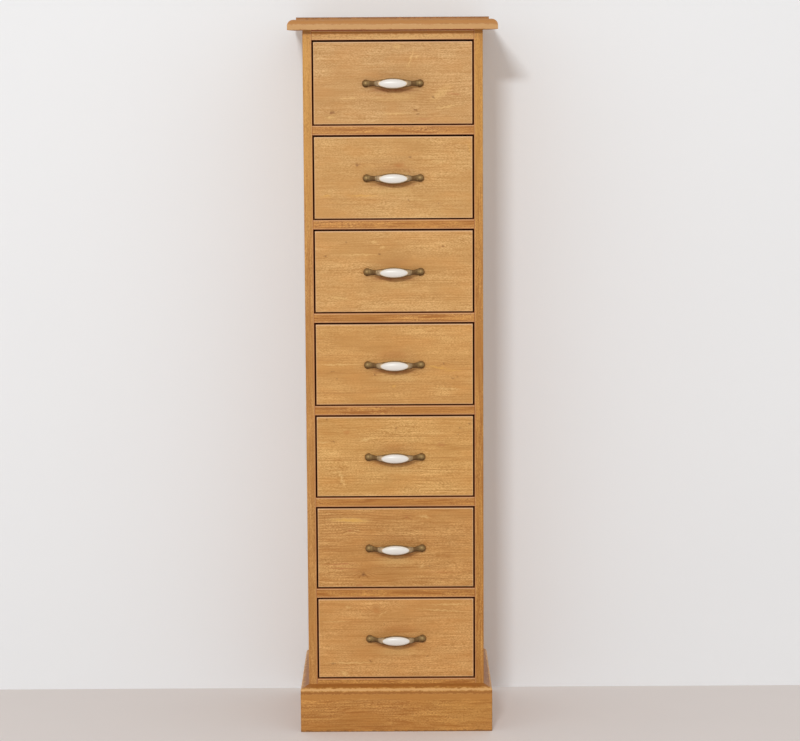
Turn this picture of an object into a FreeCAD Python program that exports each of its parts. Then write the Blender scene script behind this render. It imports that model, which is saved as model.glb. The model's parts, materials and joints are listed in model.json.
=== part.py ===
import FreeCAD, Part
import os

from FreeCAD import Matrix, Vector

# Semainier: a tall narrow chest of seven equal inset drawers, in stained and brushed fir.
#
# Millimetres. +Z is up, +X is to the right of someone who faces the chest, and the
# drawers face -Y. The row frame has its origin on the floor, in the middle of the
# footprint of the whole piece, handles included. The functions below measure y from the
# front edges of the carcass instead, and save() moves each piece into the row frame.

# ---------------------------------------------------------------- driving dimensions

# Carcass
drawer_count = 7
opening_width = 288.0
opening_height = 151.0
side_thickness = 16.0
rail_height = 17.0
rail_depth = 50.0
top_rail_height = 18.0
bottom_board_thickness = 16.0
bottom_board_reveal = 10.0       # edge of the bottom board that shows above the plinth
carcass_depth = 286.0
runner_width = 20.0
outer_edge_radius = 1.5          # sanded front corners of the side boards
joint_edge_radius = 0.5          # hairline rounding where rails and sides meet

# Back panel, let into rebates in the side boards
back_panel_thickness = 5.0
back_panel_lap = 8.0             # how far it reaches into each side board
back_panel_inset = 1.0           # its rear face lies inside the side boards' rear edges
back_panel_floor_gap = 10.0

# Plinth boards, glued round the foot of the carcass
plinth_height = 86.0
plinth_thickness = 15.0
plinth_slope_drop = 4.0          # fall of the weathered top edge
plinth_nose_width = 6.0
plinth_nose_height = 7.0
plinth_corner_radius = 2.0

# Top board with an ovolo and a small square step on three edges
top_thickness = 22.0
top_side_overhang = 26.0
top_front_overhang = 24.0
ovolo_width = 12.0
ovolo_height = 10.0
step_width = 3.5
step_height = 4.0

# Drawer boxes
front_thickness = 18.0
front_setback = 2.0              # drawer fronts sit this far behind the carcass front
front_side_gap = 2.5
front_top_gap = 3.0
front_bottom_gap = 2.0
front_edge_radius = 1.0
box_side_thickness = 12.0
box_side_lap = 10.0              # end of each box side that is let into the front
box_side_drop = 4.0              # box sides stop this far below the top of the front
box_back_thickness = 12.0
box_rear_clearance = 15.0
slide_clearance = 0.5            # box sides above the runners
panel_thickness = 4.0
panel_lift = 9.0                 # underside of the bottom panel above the box sides' foot
groove_depth = 6.0

# Stops, small blocks that end the drawer's way in
stop_length = 25.0
stop_width = 30.0
stop_inset = 40.0
stop_clearance = 0.3
stop_headroom = 4.0              # free height between a stop and the bottom panel

# Bow handles: brass bow, porcelain grip, two screws from inside the drawer
handle_centres = 96.0
handle_drop = 0.75               # handles sit this far below the middle of their front
handle_reach = 28.0              # front of the drawer to the crown of the grip
grip_length = 49.0
grip_height = 16.0
grip_crown = 4.5                 # how far the grip domes out of its rim
grip_clearance = 0.1
rim_width = 1.6
rim_band = 3.0
tray_seat = 2.5                  # depth of the seat for the grip
tray_belly = 3.5                 # rounded back of the tray
foot_diameter = 14.0
foot_base = 3.0
foot_height = 10.0
arm_root_standoff = 5.2
arm_root_height = 12.6
arm_neck_height = 9.0
arm_crown_height = 15.8
arm_thickness = 5.4
arm_overlap = 12.2               # length of arm that runs on inside the tray
arm_neck_share = 0.38            # the neck, as a share of the way to the arm's inner end
arm_rise_share = 0.8             # where the arm has come out as far as the tray
arm_sections = 11
screw_diameter = 4.0
screw_engagement = 6.0
screw_tip_clearance = 0.5
screw_side_clearance = 0.05
screw_hole_clearance = 0.25
screw_head_diameter = 8.0
screw_head_height = 2.5
recess_length = 4.6
recess_width = 1.1
recess_depth = 1.3

# ---------------------------------------------------------------- sizes that follow

carcass_half_width = opening_width / 2 + side_thickness
bottom_opening_floor = plinth_height + bottom_board_reveal
drawer_pitch = opening_height + rail_height
carcass_height = (bottom_opening_floor + drawer_count * drawer_pitch
                  - rail_height + top_rail_height)
back_panel_rear = carcass_depth - back_panel_inset
inner_depth = back_panel_rear - back_panel_thickness

box_half_width = opening_width / 2 - front_side_gap
box_half_inside = box_half_width - box_side_thickness
front_inner_face = front_setback + front_thickness
box_rear = inner_depth - box_rear_clearance

rim_standoff = handle_reach - grip_crown
tray_standoff = rim_standoff - rim_band
tray_half_length = grip_length / 2 + grip_clearance + rim_width
tray_half_height = grip_height / 2 + grip_clearance + rim_width

front_projection = max(top_front_overhang, handle_reach - front_setback)
frame_shift = (front_projection - carcass_depth) / 2

touch = 1e-6


# ---------------------------------------------------------------- small helpers

def block(x_span, y_span, z_span):
    """A board between two planes on each axis."""
    size = [span[1] - span[0] for span in (x_span, y_span, z_span)]
    corner = Vector(x_span[0], y_span[0], z_span[0])
    return Part.makeBox(size[0], size[1], size[2], corner)


def prism(outline, travel):
    """The solid that a closed outline of edges sweeps along a straight travel."""
    return Part.Face(Part.Wire(outline)).extrude(travel)


def polygon_edges(points):
    return [Part.LineSegment(a, b).toShape() for a, b in zip(points, points[1:])]


def on_plane(edge, axis, value):
    """Whether both ends of an edge lie on the plane where axis has this value."""
    return all(abs(vertex.Point[axis] - value) < touch for vertex in edge.Vertexes)


def rounded(shape, radius, planes):
    """Round the edges whose ends lie on every one of the planes (axis, value)."""
    edges = [edge for edge in shape.Edges if all(on_plane(edge, *plane) for plane in planes)]
    return shape.makeFillet(radius, edges)


def eased_front(board, radius):
    """Round the four edges of a board's front face."""
    return rounded(board, radius, [(1, board.BoundBox.YMin)])


def mirrored_pair(shape):
    return [shape, shape.mirror(Vector(0, 0, 0), Vector(1, 0, 0))]


def save(node, solids):
    """Move the solids of one node into the row frame and write its file."""
    placed = Part.makeCompound([solid for shape in solids for solid in shape.Solids])
    placed.translate(Vector(0, frame_shift, 0))
    placed.exportStep(f"parts/{node}.step")


def opening_floor(number):
    """Height of the floor of a drawer's opening. Drawer 1 is the highest."""
    return bottom_opening_floor + (drawer_count - number) * drawer_pitch


# ---------------------------------------------------------------- carcass

def side_board():
    """The right side board, rebated along its rear inner edge for the back panel."""
    inner = opening_width / 2
    board = block((inner, carcass_half_width), (0, carcass_depth), (0, carcass_height))
    board = rounded(board, outer_edge_radius, [(0, carcass_half_width), (1, 0)])
    board = rounded(board, joint_edge_radius, [(0, inner), (1, 0)])
    rebate = block((inner, inner + back_panel_lap), (inner_depth, carcass_depth),
                   (0, carcass_height))
    return board.cut(rebate)


def back_panel():
    reach = opening_width / 2 + back_panel_lap
    return block((-reach, reach), (inner_depth, back_panel_rear),
                 (back_panel_floor_gap, carcass_height))


def bottom_board():
    top = bottom_opening_floor
    board = block((-opening_width / 2, opening_width / 2), (0, inner_depth),
                  (top - bottom_board_thickness, top))
    return eased_front(board, joint_edge_radius)


def level_spans():
    """Bottom and top of every rail, from the top rail down."""
    spans = [(carcass_height - top_rail_height, carcass_height)]
    for number in range(1, drawer_count):
        top = opening_floor(number)
        spans.append((top - rail_height, top))
    return spans


def front_rails():
    half = opening_width / 2
    rails = [block((-half, half), (0, rail_depth), span) for span in level_spans()]
    return [eased_front(rail, joint_edge_radius) for rail in rails]


def drawer_runners():
    """Strips behind the rails: each carries the drawer above and steadies the one below."""
    half = opening_width / 2
    runners = []
    for span in level_spans():
        strip = block((half - runner_width, half), (rail_depth, inner_depth), span)
        runners += mirrored_pair(strip)
    return runners


def drawer_stops():
    """Two blocks behind each drawer front, glued to the rail or bottom board."""
    outer = opening_width / 2 - stop_inset
    near = front_inner_face + stop_clearance
    height = slide_clearance + panel_lift - stop_headroom
    stops = []
    for number in range(1, drawer_count + 1):
        floor = opening_floor(number)
        stop = block((outer - stop_width, outer), (near, near + stop_length),
                     (floor, floor + height))
        stops += mirrored_pair(stop)
    return stops


# ---------------------------------------------------------------- plinth

def plinth_section(outward):
    """The plinth's section, from the carcass face outwards, as edges in a vertical plane."""
    def at(out, height):
        return outward * out + Vector(0, 0, height)

    slope_end = plinth_thickness - plinth_nose_width
    nose_top = plinth_height - plinth_slope_drop
    nose_foot = nose_top - plinth_nose_height
    nose_middle = at(slope_end + plinth_nose_width * 0.5 ** 0.5,
                     nose_foot + plinth_nose_height * 0.5 ** 0.5)
    nose = Part.Arc(at(slope_end, nose_top), nose_middle, at(plinth_thickness, nose_foot))
    below = [at(plinth_thickness, nose_foot), at(plinth_thickness, 0), at(0, 0),
             at(0, plinth_height), at(slope_end, nose_top)]
    return [nose.toShape()] + polygon_edges(below)


def moved(edges, offset):
    return [edge.translated(offset) for edge in edges]


def plinth_footprint():
    """The outer shape of the plinth in plan, with its two front corners rounded."""
    outer = carcass_half_width + plinth_thickness
    solid = block((-outer, outer), (-plinth_thickness, carcass_depth), (0, plinth_height))
    for side in (-outer, outer):
        solid = rounded(solid, plinth_corner_radius, [(0, side), (1, -plinth_thickness)])
    return solid


def mitre_zone(points):
    """A prism over a closed outline in plan, as high as the plinth."""
    corners = [Vector(x, y, 0) for x, y in points]
    return prism(polygon_edges(corners + corners[:1]), Vector(0, 0, plinth_height))


def plinth_front():
    half = carcass_half_width
    outer = half + plinth_thickness
    section = moved(plinth_section(Vector(0, -1, 0)), Vector(-outer, 0, 0))
    bar = prism(section, Vector(2 * outer, 0, 0))
    zone = mitre_zone([(-half, 0), (half, 0), (outer, -plinth_thickness),
                       (-outer, -plinth_thickness)])
    return bar.common(zone).common(plinth_footprint())


def plinth_side():
    """The right plinth board."""
    half = carcass_half_width
    outer = half + plinth_thickness
    section = moved(plinth_section(Vector(1, 0, 0)), Vector(half, -plinth_thickness, 0))
    bar = prism(section, Vector(0, carcass_depth + plinth_thickness, 0))
    zone = mitre_zone([(half, 0), (outer, -plinth_thickness), (outer, carcass_depth),
                       (half, carcass_depth)])
    return bar.common(zone).common(plinth_footprint())


# ---------------------------------------------------------------- top board

def moulded_edge(outward, reach):
    """The board's moulded edge from its flat top down, ending at the outer face's foot."""
    def at(inset, drop):
        height = carcass_height + top_thickness - drop
        return outward * (reach - inset) + Vector(0, 0, height)

    flat_end = at(step_width + ovolo_width, 0)
    step_foot = at(step_width + ovolo_width, step_height)
    ovolo_start = at(ovolo_width, step_height)
    ovolo_middle = at(ovolo_width * (1 - 0.5 ** 0.5),
                      step_height + ovolo_height * (1 - 0.5 ** 0.5))
    ovolo_end = at(0, step_height + ovolo_height)
    foot = at(0, top_thickness)
    ovolo = Part.Arc(ovolo_start, ovolo_middle, ovolo_end).toShape()
    edges = polygon_edges([flat_end, step_foot, ovolo_start]) + [ovolo]
    return edges + polygon_edges([ovolo_end, foot]), flat_end, foot


def top_board():
    """Two slabs with moulded edges cross, and their common part has mitred mouldings."""
    half = carcass_half_width + top_side_overhang
    depth = carcass_depth + top_front_overhang
    rise = Vector(0, 0, top_thickness)

    edge, flat_end, foot = moulded_edge(Vector(0, -1, 0), top_front_overhang)
    back_foot = Vector(0, carcass_depth, carcass_height)
    closing = polygon_edges([foot, back_foot, back_foot + rise, flat_end])
    across = prism(moved(edge + closing, Vector(-half, 0, 0)), Vector(2 * half, 0, 0))

    left, left_flat, left_foot = moulded_edge(Vector(-1, 0, 0), half)
    right, right_flat, right_foot = moulded_edge(Vector(1, 0, 0), half)
    outline = left + polygon_edges([left_foot, right_foot]) + right[::-1]
    outline += polygon_edges([right_flat, left_flat])
    outline = Part.sortEdges(outline)[0]
    along = prism(moved(outline, Vector(0, -top_front_overhang, 0)), Vector(0, depth, 0))
    return across.common(along)


# ---------------------------------------------------------------- drawers

class Drawer:
    """The heights and pieces of one drawer, pushed home."""

    def __init__(self, number):
        floor = opening_floor(number)
        self.front_foot = floor + front_bottom_gap
        self.front_top = floor + opening_height - front_top_gap
        self.handle_axis = (self.front_foot + self.front_top) / 2 - handle_drop
        self.side_foot = floor + slide_clearance
        self.side_top = self.front_top - box_side_drop
        self.panel_foot = self.side_foot + panel_lift
        self.panel_top = self.panel_foot + panel_thickness

    def front(self):
        board = block((-box_half_width, box_half_width), (front_setback, front_inner_face),
                      (self.front_foot, self.front_top))
        board = eased_front(board, front_edge_radius)
        for seat in mirrored_pair(self.side_blank()):
            board = board.cut(seat)
        for x in (-handle_centres / 2, handle_centres / 2):
            radius = screw_diameter / 2 + screw_hole_clearance
            hole = Part.makeCylinder(radius, front_thickness,
                                     Vector(x, front_setback, self.handle_axis), Vector(0, 1, 0))
            board = board.cut(hole)
        return board.cut(self.bottom())

    def side_blank(self):
        """The right box side before its groove, let into the rear of the front."""
        return block((box_half_inside, box_half_width),
                     (front_inner_face - box_side_lap, box_rear),
                     (self.side_foot, self.side_top))

    def sides(self):
        groove = block((box_half_inside, box_half_inside + groove_depth),
                       (front_inner_face - box_side_lap, box_rear),
                       (self.panel_foot, self.panel_top))
        return mirrored_pair(self.side_blank().cut(groove))

    def back(self):
        return block((-box_half_inside, box_half_inside),
                     (box_rear - box_back_thickness, box_rear),
                     (self.panel_top, self.side_top))

    def bottom(self):
        """The bottom panel, slid in under the back and held in grooves on three edges."""
        reach = box_half_inside + groove_depth
        return block((-reach, reach), (front_inner_face - groove_depth, box_rear),
                     (self.panel_foot, self.panel_top))


# ---------------------------------------------------------------- handles

def oval(half_length, half_height, standoff, travel):
    """An oval plate parallel to the drawer front, from a standoff outwards by travel."""
    curve = Part.Ellipse(Vector(half_length, 0, 0), Vector(0, half_height, 0), Vector(0, 0, 0))
    if half_height > half_length:
        curve = Part.Ellipse(Vector(0, half_height, 0), Vector(-half_length, 0, 0),
                             Vector(0, 0, 0))
    plate = prism([curve.toShape()], Vector(0, 0, travel))
    plate.rotate(Vector(0, 0, 0), Vector(1, 0, 0), 90)
    plate.translate(Vector(0, -standoff, 0))
    return plate


def half_oval_dome(half_length, half_height, rise, standoff, outward):
    """Half an ellipsoid on an oval base: outward is 1 for a crown, -1 for a belly."""
    lower_angle, upper_angle = (0, 90) if outward > 0 else (-90, 0)
    dome = Part.makeSphere(1, Vector(0, 0, 0), Vector(0, -1, 0), lower_angle, upper_angle, 360)
    stretch = Matrix()
    stretch.scale(half_length, rise, half_height)
    dome = dome.transformGeometry(stretch)
    dome.translate(Vector(0, -standoff, 0))
    return dome


def arm_section(x, standoff, height, thickness):
    """An oval wire across one arm of the bow."""
    centre = Vector(x, -standoff, 0)
    tall = Vector(0, 0, height / 2)
    deep = Vector(0, thickness / 2, 0)
    if thickness > height:
        tall, deep = deep, tall
    curve = Part.Ellipse(centre + tall, centre + deep, centre)
    return Part.Wire(curve.toShape())


def eased(share):
    """A share from 0 to 1 that starts and ends gently."""
    share = min(1.0, max(0.0, share))
    return share * share * (3 - 2 * share)


def arm_height(share):
    """The height of the arm: broad at the foot, narrow at the neck, broad in the tray."""
    if share < arm_neck_share:
        narrowing = eased(share / arm_neck_share)
        return arm_root_height + (arm_neck_height - arm_root_height) * narrowing
    flare = eased((share - arm_neck_share) / (1 - arm_neck_share))
    return arm_neck_height + (arm_crown_height - arm_neck_height) * flare


def bow_arm():
    """The right arm: oval sections that rise in an S from the foot to the tray."""
    start = handle_centres / 2
    end = tray_half_length - arm_overlap
    wires = []
    for index in range(arm_sections):
        share = index / (arm_sections - 1)
        rise = eased(share / arm_rise_share)
        x = start + (end - start) * share
        standoff = arm_root_standoff + (tray_standoff - arm_root_standoff) * rise
        wires.append(arm_section(x, standoff, arm_height(share), arm_thickness))
    return Part.makeLoft(wires, True, False)


def bow_foot():
    """The right foot, a short round boss with a domed end."""
    x = handle_centres / 2
    radius = foot_diameter / 2
    base = Part.makeCylinder(radius, foot_base, Vector(x, 0, 0), Vector(0, -1, 0))
    dome = half_oval_dome(radius, radius, foot_height - foot_base, foot_base, 1)
    return base.fuse(dome.translated(Vector(x, 0, 0)))


def screw_shank(radius, tip):
    """The right screw's shank, from the inner face of the drawer front to its tip."""
    start = Vector(handle_centres / 2, front_thickness, 0)
    return Part.makeCylinder(radius, front_thickness + tip, start, Vector(0, -1, 0))


def handle_bow():
    """The brass bow with its tray, its seat for the grip and its two blind screw holes."""
    tray = oval(tray_half_length, tray_half_height, tray_standoff, rim_band)
    belly = half_oval_dome(tray_half_length, tray_half_height, tray_belly, tray_standoff, -1)
    bow = tray.fuse(belly)
    for half in mirrored_pair(bow_arm().fuse(bow_foot())):
        bow = bow.fuse(half)
    seat = oval(grip_length / 2 + grip_clearance, grip_height / 2 + grip_clearance,
                rim_standoff - tray_seat, tray_seat + grip_crown)
    bow = bow.cut(seat)
    hole = screw_shank(screw_diameter / 2 + screw_side_clearance,
                       screw_engagement + screw_tip_clearance)
    for drill in mirrored_pair(hole):
        bow = bow.cut(drill)
    return bow


def handle_grip():
    """The porcelain oval, with a flat foot in the tray and a low dome in front."""
    foot = oval(grip_length / 2, grip_height / 2, rim_standoff - tray_seat, tray_seat)
    crown = half_oval_dome(grip_length / 2, grip_height / 2, grip_crown, rim_standoff, 1)
    return foot.fuse(crown)


def handle_screws():
    """Two pan-head screws, with a cross recess, driven from inside the drawer."""
    x = handle_centres / 2
    seat = Vector(x, front_thickness, 0)
    head = Part.makeCylinder(screw_head_diameter / 2, screw_head_height, seat, Vector(0, 1, 0))
    screw = screw_shank(screw_diameter / 2, screw_engagement).fuse(head)
    outer = front_thickness + screw_head_height
    for width, height in ((recess_length, recess_width), (recess_width, recess_length)):
        slot = block((x - width / 2, x + width / 2), (outer - recess_depth, outer),
                     (-height / 2, height / 2))
        screw = screw.cut(slot)
    return mirrored_pair(screw)


# ---------------------------------------------------------------- build

def build():
    os.makedirs("parts", exist_ok=True)

    right_side, left_side = mirrored_pair(side_board())
    right_plinth, left_plinth = mirrored_pair(plinth_side())
    save("side_left", [left_side])
    save("side_right", [right_side])
    save("top_board", [top_board()])
    save("bottom_board", [bottom_board()])
    save("back_panel", [back_panel()])
    save("plinth_front", [plinth_front()])
    save("plinth_left", [left_plinth])
    save("plinth_right", [right_plinth])
    save("front_rails", front_rails())
    save("drawer_runners", drawer_runners())
    save("drawer_stops", drawer_stops())

    bow = handle_bow()
    grip = handle_grip()
    screws = handle_screws()
    for number in range(1, drawer_count + 1):
        drawer = Drawer(number)
        name = f"drawer_{number}"
        save(f"{name}_front", [drawer.front()])
        save(f"{name}_sides", drawer.sides())
        save(f"{name}_back", [drawer.back()])
        save(f"{name}_bottom", [drawer.bottom()])
        place = Vector(0, front_setback, drawer.handle_axis)
        save(f"{name}_handle_bow", [bow.translated(place)])
        save(f"{name}_handle_grip", [grip.translated(place)])
        save(f"{name}_handle_screws", [screw.translated(place) for screw in screws])


build()
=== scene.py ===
from functools import partial
import json
import math

import bmesh
import bpy
from mathutils import Euler, Matrix, Vector

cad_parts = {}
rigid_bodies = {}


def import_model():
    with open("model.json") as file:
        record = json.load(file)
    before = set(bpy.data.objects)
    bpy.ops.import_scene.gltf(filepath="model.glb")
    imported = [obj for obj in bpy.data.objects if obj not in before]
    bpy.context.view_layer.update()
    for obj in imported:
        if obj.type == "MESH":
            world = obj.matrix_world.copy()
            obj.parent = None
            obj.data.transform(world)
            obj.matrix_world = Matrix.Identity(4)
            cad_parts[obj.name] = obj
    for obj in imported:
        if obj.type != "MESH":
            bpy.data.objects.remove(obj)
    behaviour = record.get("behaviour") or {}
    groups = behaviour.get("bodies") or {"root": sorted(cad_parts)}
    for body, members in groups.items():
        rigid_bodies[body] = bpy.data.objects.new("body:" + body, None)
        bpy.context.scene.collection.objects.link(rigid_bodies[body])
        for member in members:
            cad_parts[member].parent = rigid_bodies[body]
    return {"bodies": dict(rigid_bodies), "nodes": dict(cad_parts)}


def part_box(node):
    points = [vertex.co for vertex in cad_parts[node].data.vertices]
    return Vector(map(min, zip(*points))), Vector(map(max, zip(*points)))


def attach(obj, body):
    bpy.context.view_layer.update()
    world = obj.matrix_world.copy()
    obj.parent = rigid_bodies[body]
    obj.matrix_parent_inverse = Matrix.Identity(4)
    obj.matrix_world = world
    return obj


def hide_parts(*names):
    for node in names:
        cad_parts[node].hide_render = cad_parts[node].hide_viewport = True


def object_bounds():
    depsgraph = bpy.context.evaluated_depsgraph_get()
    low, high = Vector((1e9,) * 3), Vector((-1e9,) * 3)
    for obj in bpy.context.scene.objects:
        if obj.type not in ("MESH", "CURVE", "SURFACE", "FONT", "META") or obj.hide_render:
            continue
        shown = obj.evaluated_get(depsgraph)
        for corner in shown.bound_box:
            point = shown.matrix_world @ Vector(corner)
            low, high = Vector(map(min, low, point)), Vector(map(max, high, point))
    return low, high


# Semainier: a tall narrow chest of seven drawers in brushed and stained fir, with bow
# handles of darkened brass and white porcelain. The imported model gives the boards, and
# this file gives them their finish and makes the handles, the screws and the pins.
# Everything is in metres in the row frame: the drawers face -Y and +Z is up.

bl_info = {
    "name": "Semainier",
    "version": (1, 0, 0),
    "blender": (4, 5, 0),
    "location": "View3D > Sidebar > Semainier",
    "description": "Dresses a packed seven-drawer chest: stained fir, brass and porcelain",
    "category": "Object",
}

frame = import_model()
cad_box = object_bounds()

MM = 0.001
TO_MILLIMETRES = (1000.0, 1000.0, 1000.0)
DRAWERS = sorted(body for body in frame["bodies"] if body != "carcass")

# Sockets of a colour Mix node, which have no names of their own
FACTOR, COLOUR_A, COLOUR_B, MIXED = 0, 6, 7, 2
# The setting of a Map Range that eases in and out
SMOOTH = {"interpolation_type": "SMOOTHSTEP"}


def linear(hex_colour):
    """An sRGB hex colour as linear red, green, blue and alpha."""
    channels = [int(hex_colour[i:i + 2], 16) / 255 for i in (1, 3, 5)]
    return [c / 12.92 if c <= 0.04045 else ((c + 0.055) / 1.055) ** 2.4
            for c in channels] + [1.0]


def tinted(colour, red=1.0, green=1.0, blue=1.0):
    """A colour made lighter or darker, channel by channel."""
    return [min(1.0, max(0.0, channel * share))
            for channel, share in zip(colour, (red, green, blue))] + [1.0]


def add_node(tree, kind, *inputs, **settings):
    """Adds a node and returns its outputs. A node that has an operation is named with it.
    An input is a value, a socket or the outputs of a node, of which the first feeds it.
    Inputs come in the node's own order or, in a dictionary, under their names. A Map Range
    takes a value, the two ends that it lies between and the two that these are moved to."""
    kind, _, operation = kind.partition(" ")
    node = tree.nodes.new(kind if "Node" in kind else f"ShaderNode{kind}")
    if operation:
        node.operation = operation
    for setting, value in settings.items():
        setattr(node, setting, value)
    named = inputs and isinstance(inputs[0], dict)
    for socket, value in (inputs[0] if named else dict(enumerate(inputs))).items():
        if isinstance(value, bpy.types.bpy_prop_collection):
            value = value[0]
        if isinstance(value, bpy.types.NodeSocket):
            tree.links.new(value, node.inputs[socket])
        else:
            node.inputs[socket].default_value = value
    return node.outputs


def material(name, recipe, *details, **choices):
    """A new material. Its recipe gets what adds its nodes, the coordinates and the place
    in millimetres, and returns a shader, or else the inputs of a plain surface."""
    made = bpy.data.materials.new(name)
    made.use_nodes = True
    made.node_tree.nodes.clear()
    add = partial(add_node, made.node_tree)
    coordinates = add("TexCoord")
    place = add("Mapping", {"Vector": coordinates["Object"], "Scale": TO_MILLIMETRES})
    surface = recipe(add, coordinates, place, *details, **choices)
    if isinstance(surface, dict):
        surface = add("BsdfPrincipled", surface)
    add("OutputMaterial", {"Surface": surface})
    return made


def group(name, kind, inputs, outputs):
    """A new group of nodes, what adds nodes to it, and what it is given."""
    tree = bpy.data.node_groups.new(name, kind)
    for way, sockets in (("INPUT", inputs), ("OUTPUT", outputs)):
        for label, holds in sockets.items():
            tree.interface.new_socket(label, in_out=way, socket_type=f"NodeSocket{holds}")
    add = partial(add_node, tree)
    return tree, add, add("NodeGroupInput")


def within(add, *limits):
    """The product of some limits: each is a share, or a value and the ends of its range."""
    product, *others = [add("MapRange", *limit) if isinstance(limit, tuple) else limit
                        for limit in limits]
    for other in others:
        product = add("Math MULTIPLY", product, other)
    return product


def layered(add, colour, layers):
    """Lays colours over the first one in turn, each as thickly as its limits allow."""
    for over, *limits in layers:
        colour = add("Mix", {FACTOR: within(add, *limits), COLOUR_A: colour,
                             COLOUR_B: over}, data_type="RGBA")[MIXED]
    return colour


def drawn_noise(add, place, length, width, **settings):
    """Noise drawn out along the grain, to a length and a width in millimetres."""
    stretched = add("VectorMath MULTIPLY", place, (1 / length, 1 / width, 1 / width))
    return add("TexNoise", {"Vector": stretched, "Scale": 1.0, **settings})


# ---- settings

def colour(name, description, hex_default):
    return bpy.props.FloatVectorProperty(
        name=name, description=description, default=linear(hex_default)[:3],
        subtype="COLOR", min=0.0, max=1.0)


def size(name, description, millimetres):
    return bpy.props.FloatProperty(
        name=name, description=description, default=millimetres * MM, unit="LENGTH",
        min=0.0)


class SemainierWood(bpy.types.PropertyGroup):
    front_stain: colour("Drawer fronts", "Stain of the drawer fronts", "#CE9D5C")
    left_stain: colour("Left side", "Stain of the left side board", "#BF8A48")
    right_stain: colour("Right side", "Stain of the right side board", "#BB843D")
    rail_stain: colour("Rails", "Stain of the rails and the bottom board", "#C1883F")
    top_stain: colour("Top board", "Stain of the moulded top board", "#BC8B54")
    plinth_stain: colour("Plinth", "Stain of the plinth boards", "#BF8842")
    bare_fir: colour("Bare fir", "Unstained fir of the drawer boxes and runners", "#DEBE8E")
    birch: colour("Birch plywood", "Face of the drawer bottoms", "#E2C79D")
    hardboard: colour("Hardboard", "Smooth face of the back panel", "#9C7650")
    ring_spacing: size("Growth rings", "Spacing of the growth rings", 4.2)
    fibre_width: size("Fibres", "Width of a brushed fibre, drawn coarse", 1.2)
    fibre_length: size("Fibre length", "Length of a brushed fibre", 38.0)
    brush_depth: size("Brushing", "Depth of the brushed grain", 0.25)


class SemainierHandles(bpy.types.PropertyGroup):
    brass: colour("Brass", "Rubbed brass on the high places", "#A38758")
    patina: colour("Patina", "Dark patina in the hollows", "#6E4F2A")
    # Pale brass painted as the highlight on the arm ends, partly polishing
    polished: colour("Polished brass", "Brass that fingers have polished", "#CDB494")
    porcelain: colour("Porcelain", "White glaze of the grips", "#E5E1DC")
    centres: size("Centres", "Distance between the two feet", 96.0)
    foot_diameter: size("Foot", "Diameter of a foot", 14.0)
    foot_height: size("Foot height", "Crown of a foot above the drawer front", 10.0)
    reach: size("Reach", "Crown of the grip above the drawer front", 28.0)
    grip_length: size("Grip length", "Length of the porcelain", 49.0)
    grip_height: size("Grip height", "Height of the porcelain", 16.0)
    grip_crown: size("Grip crown", "Dome of the porcelain over its rim", 4.5)
    rim_width: size("Rim", "Brass round the porcelain", 1.6)
    screw_diameter: size("Screw", "Diameter of a handle screw", 4.0)
    screw_head: size("Screw head", "Diameter of a screw's head", 8.0)


class SemainierStage(bpy.types.PropertyGroup):
    wall: colour("Wall", "Painted wall behind the chest", "#EFF1F4")
    floor: colour("Floor", "Floor under the chest", "#E5DFDE")
    lamp_power: bpy.props.FloatProperty(
        name="Lamp", description="Power of the soft lamp", default=108.0, unit="POWER",
        min=0.0)
    lamp_width: size("Lamp width", "Width of the soft lamp", 650.0)
    lamp_height: size("Lamp height", "Height of the soft lamp", 240.0)
    daylight: bpy.props.FloatProperty(
        name="Daylight", description="Strength of the even light from all round",
        default=0.7, min=0.0)
    wall_gap: size("Wall gap", "Gap between the chest and the wall", 21.0)


# ---- wood

# Turns of the board's coordinates that bring its grain onto X
GRAIN_ALONG_X = (0.0, 0.0, 0.0)
GRAIN_ALONG_Y = (0.0, 0.0, -math.pi / 2)
GRAIN_ALONG_Z = (0.0, math.pi / 2, 0.0)

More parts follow.
